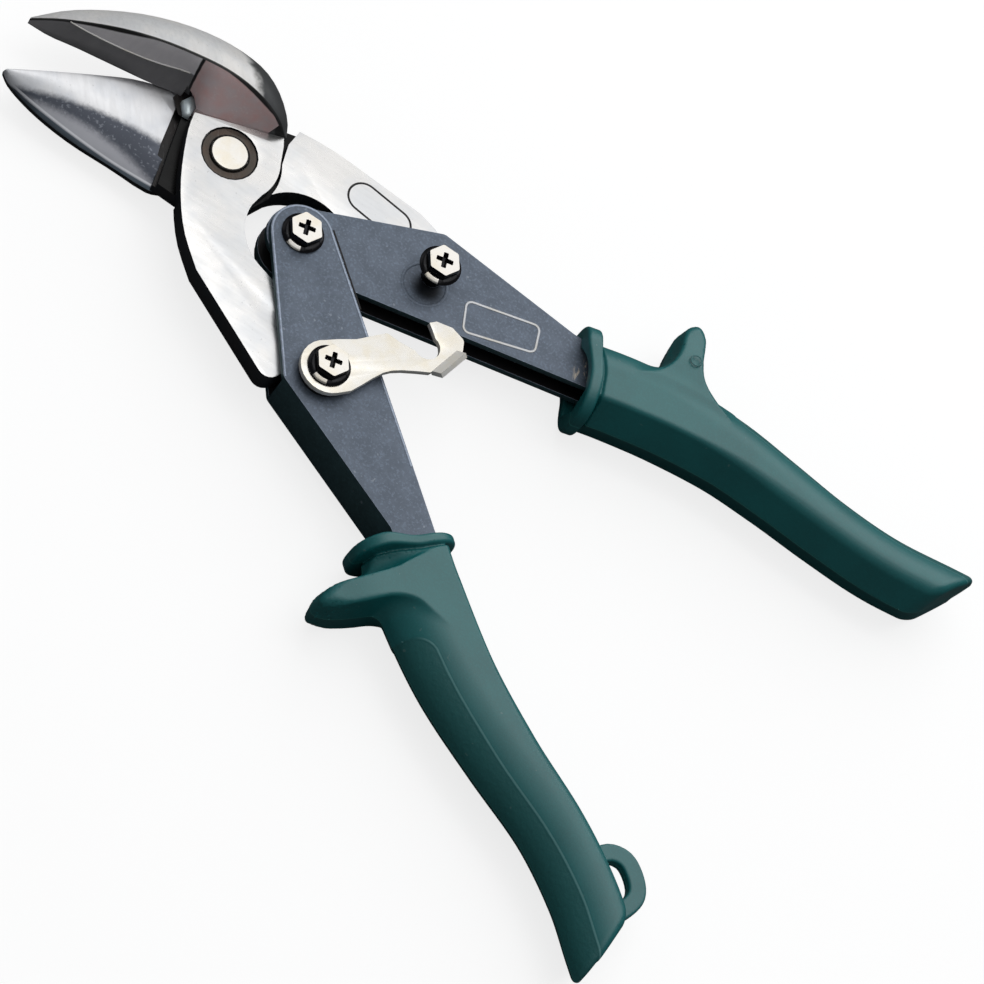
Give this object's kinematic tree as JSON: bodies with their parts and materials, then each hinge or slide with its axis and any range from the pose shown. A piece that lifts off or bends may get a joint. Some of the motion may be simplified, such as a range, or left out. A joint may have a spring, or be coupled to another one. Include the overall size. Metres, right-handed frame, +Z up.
{
  "type": "aviation snips",
  "caption": "Compound-action offset aviation snips: geared-down jaws, pressed steel handles with moulded grips, hang loop and a pivoting latch, shown open.",
  "frame": {"origin": "the centre of the blade pivot bolt's flat top face, 4.45 mm above the plane where the two blades slide on each other", "axes": "+X from the blade pivot through the handle pivot towards the grips, so the jaws point to -X; +Z up along every pivot, out of the side the latch is on; the upper blade's jaw lies on the +Y side"},
  "size_m": [0.2541, 0.152, 0.0244],
  "materials": {
    "blade_steel": "ground and lightly polished forged steel",
    "pivot_steel": "turned and polished",
    "bronzed_ring": "dark bronzed",
    "plated_steel": "zinc plated",
    "handle_paint": "satin blue-grey coating with fine mottling",
    "grip_vinyl": "moulded vinyl, smooth top panels and finely textured sides",
    "black_screw": "blackened, with bright worn crowns",
    "spring_steel": "oil-blackened spring steel",
    "latch_zinc": "zinc plated sheet"
  },
  "bodies": {
    "lower_handle": {"lower_handle_channel": "handle_paint", "lower_grip": "grip_vinyl", "link_screw": "black_screw", "link_nut": "plated_steel", "link_sleeve": "plated_steel", "return_spring": "spring_steel", "latch_screw": "black_screw", "latch_nut": "plated_steel", "latch_spring_washer": "spring_steel", "shank_spacer": "plated_steel"},
    "upper_handle": {"upper_handle_channel": "handle_paint", "upper_grip": "grip_vinyl", "catch_screw": "black_screw", "catch_nut": "plated_steel"},
    "latch": {"latch_plate": "latch_zinc"},
    "upper_blade": {"upper_blade": "blade_steel", "blade_pivot_bolt": "pivot_steel", "blade_pivot_ring": "bronzed_ring", "blade_pivot_washer": "plated_steel", "blade_pivot_nut": "plated_steel"},
    "lower_blade": {"lower_blade": "blade_steel"}
  },
  "joints": [
    {"name": "handle_pivot", "type": "hinge", "parent": "lower_handle", "child": "upper_handle", "pos_m": [0.026, 0, -0.00445], "axis": [0, 0, 1], "range_deg": [-30, 0], "deforming": ["return_spring"]},
    {"name": "upper_blade_pivot", "type": "hinge", "parent": "lower_handle", "child": "upper_blade", "pos_m": [0.056, -0.02, -0.00445], "axis": [0, 0, 1], "range_deg": [-7.4, 0]},
    {"name": "blade_pivot", "type": "hinge", "parent": "upper_blade", "child": "lower_blade", "pos_m": [0, 0, -0.00445], "axis": [0, 0, 1], "range_deg": [-16.4, 0]},
    {"name": "latch_pivot", "type": "hinge", "parent": "lower_handle", "child": "latch", "pos_m": [0.056, -0.02, 0.00375], "axis": [0, 0, 1], "range_deg": [-60, 15]}
  ],
  "couplings": [
    {"joint": "upper_blade_pivot", "follows": "handle_pivot", "ratio": 0.2454},
    {"joint": "blade_pivot", "follows": "handle_pivot", "ratio": 0.5431}
  ]
}
